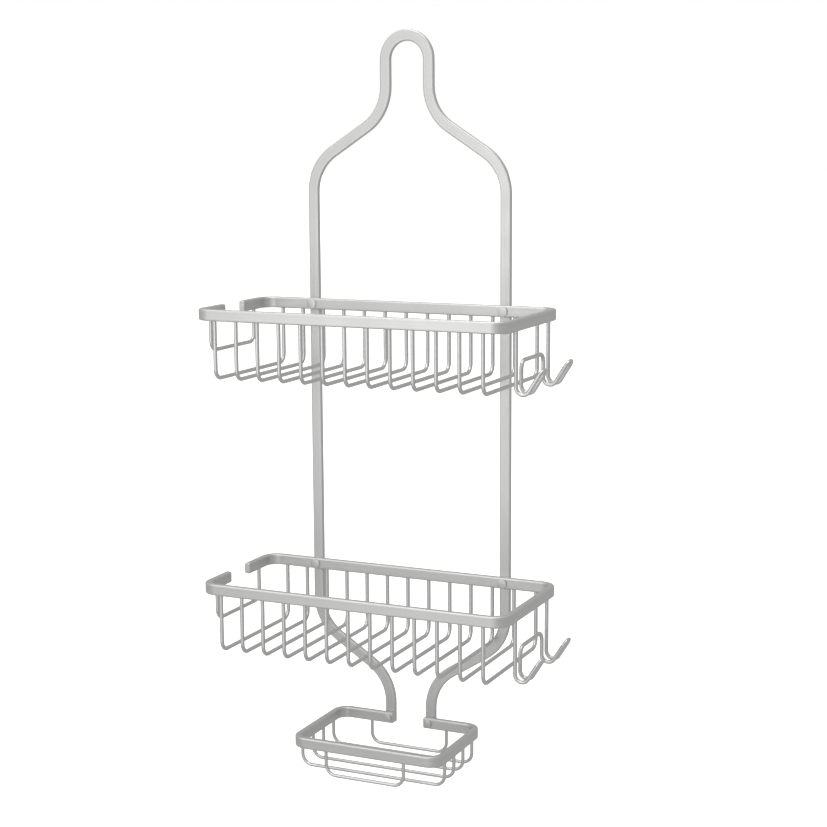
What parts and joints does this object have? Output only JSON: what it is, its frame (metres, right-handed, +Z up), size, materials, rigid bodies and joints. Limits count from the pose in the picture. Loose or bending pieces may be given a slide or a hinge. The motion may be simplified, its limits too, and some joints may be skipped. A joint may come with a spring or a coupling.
{
  "type": "hanging shower caddy",
  "caption": "Hanging shower caddy of bent aluminium bar and rod, with stacked wire baskets, side hooks and a soap dish, hung by its top loop from a shower arm.",
  "frame": {"origin": "centre of the top loop that hangs on the shower arm, in the middle of the frame bar's thickness", "axes": "+Z up, +Y towards the wall behind, +X to the side of the double hooks"},
  "size_m": [0.3304, 0.1404, 0.6916],
  "materials": {
    "frame_bar": "fine bead-blasted, satin silver anodised",
    "rim_bar": "fine bead-blasted, satin silver anodised",
    "rod": "drawn and satin silver anodised",
    "rivet": "domed, satin silver"
  },
  "bodies": {
    "root": {"dish_back_rod": "rod", "dish_front_rod": "rod", "dish_long_rod_1": "rod", "dish_long_rod_2": "rod", "dish_long_rod_3": "rod", "dish_long_rod_4": "rod", "dish_rim": "rim_bar", "dish_rivet_left": "rivet", "dish_rivet_right": "rivet", "hanger_frame": "frame_bar", "lower_basket_rim": "rim_bar", "lower_basket_rod_01": "rod", "lower_basket_rod_02": "rod", "lower_basket_rod_03": "rod", "lower_basket_rod_04": "rod", "lower_basket_rod_05": "rod", "lower_basket_rod_06": "rod", "lower_basket_rod_07": "rod", "lower_basket_rod_08": "rod", "lower_basket_rod_09": "rod", "lower_basket_rod_10": "rod", "lower_basket_rod_11": "rod", "lower_basket_rod_12": "rod", "lower_basket_rod_13": "rod", "lower_hook_rod": "rod", "lower_rivet_left": "rivet", "lower_rivet_right": "rivet", "lower_slot_rod": "rod", "upper_basket_rim": "rim_bar", "upper_basket_rod_01": "rod", "upper_basket_rod_02": "rod", "upper_basket_rod_03": "rod", "upper_basket_rod_04": "rod", "upper_basket_rod_05": "rod", "upper_basket_rod_06": "rod", "upper_basket_rod_07": "rod", "upper_basket_rod_08": "rod", "upper_basket_rod_09": "rod", "upper_basket_rod_10": "rod", "upper_basket_rod_11": "rod", "upper_basket_rod_12": "rod", "upper_basket_rod_13": "rod", "upper_hook_rod": "rod", "upper_rivet_left": "rivet", "upper_rivet_right": "rivet", "upper_slot_rod": "rod"}
  },
  "joints": []
}
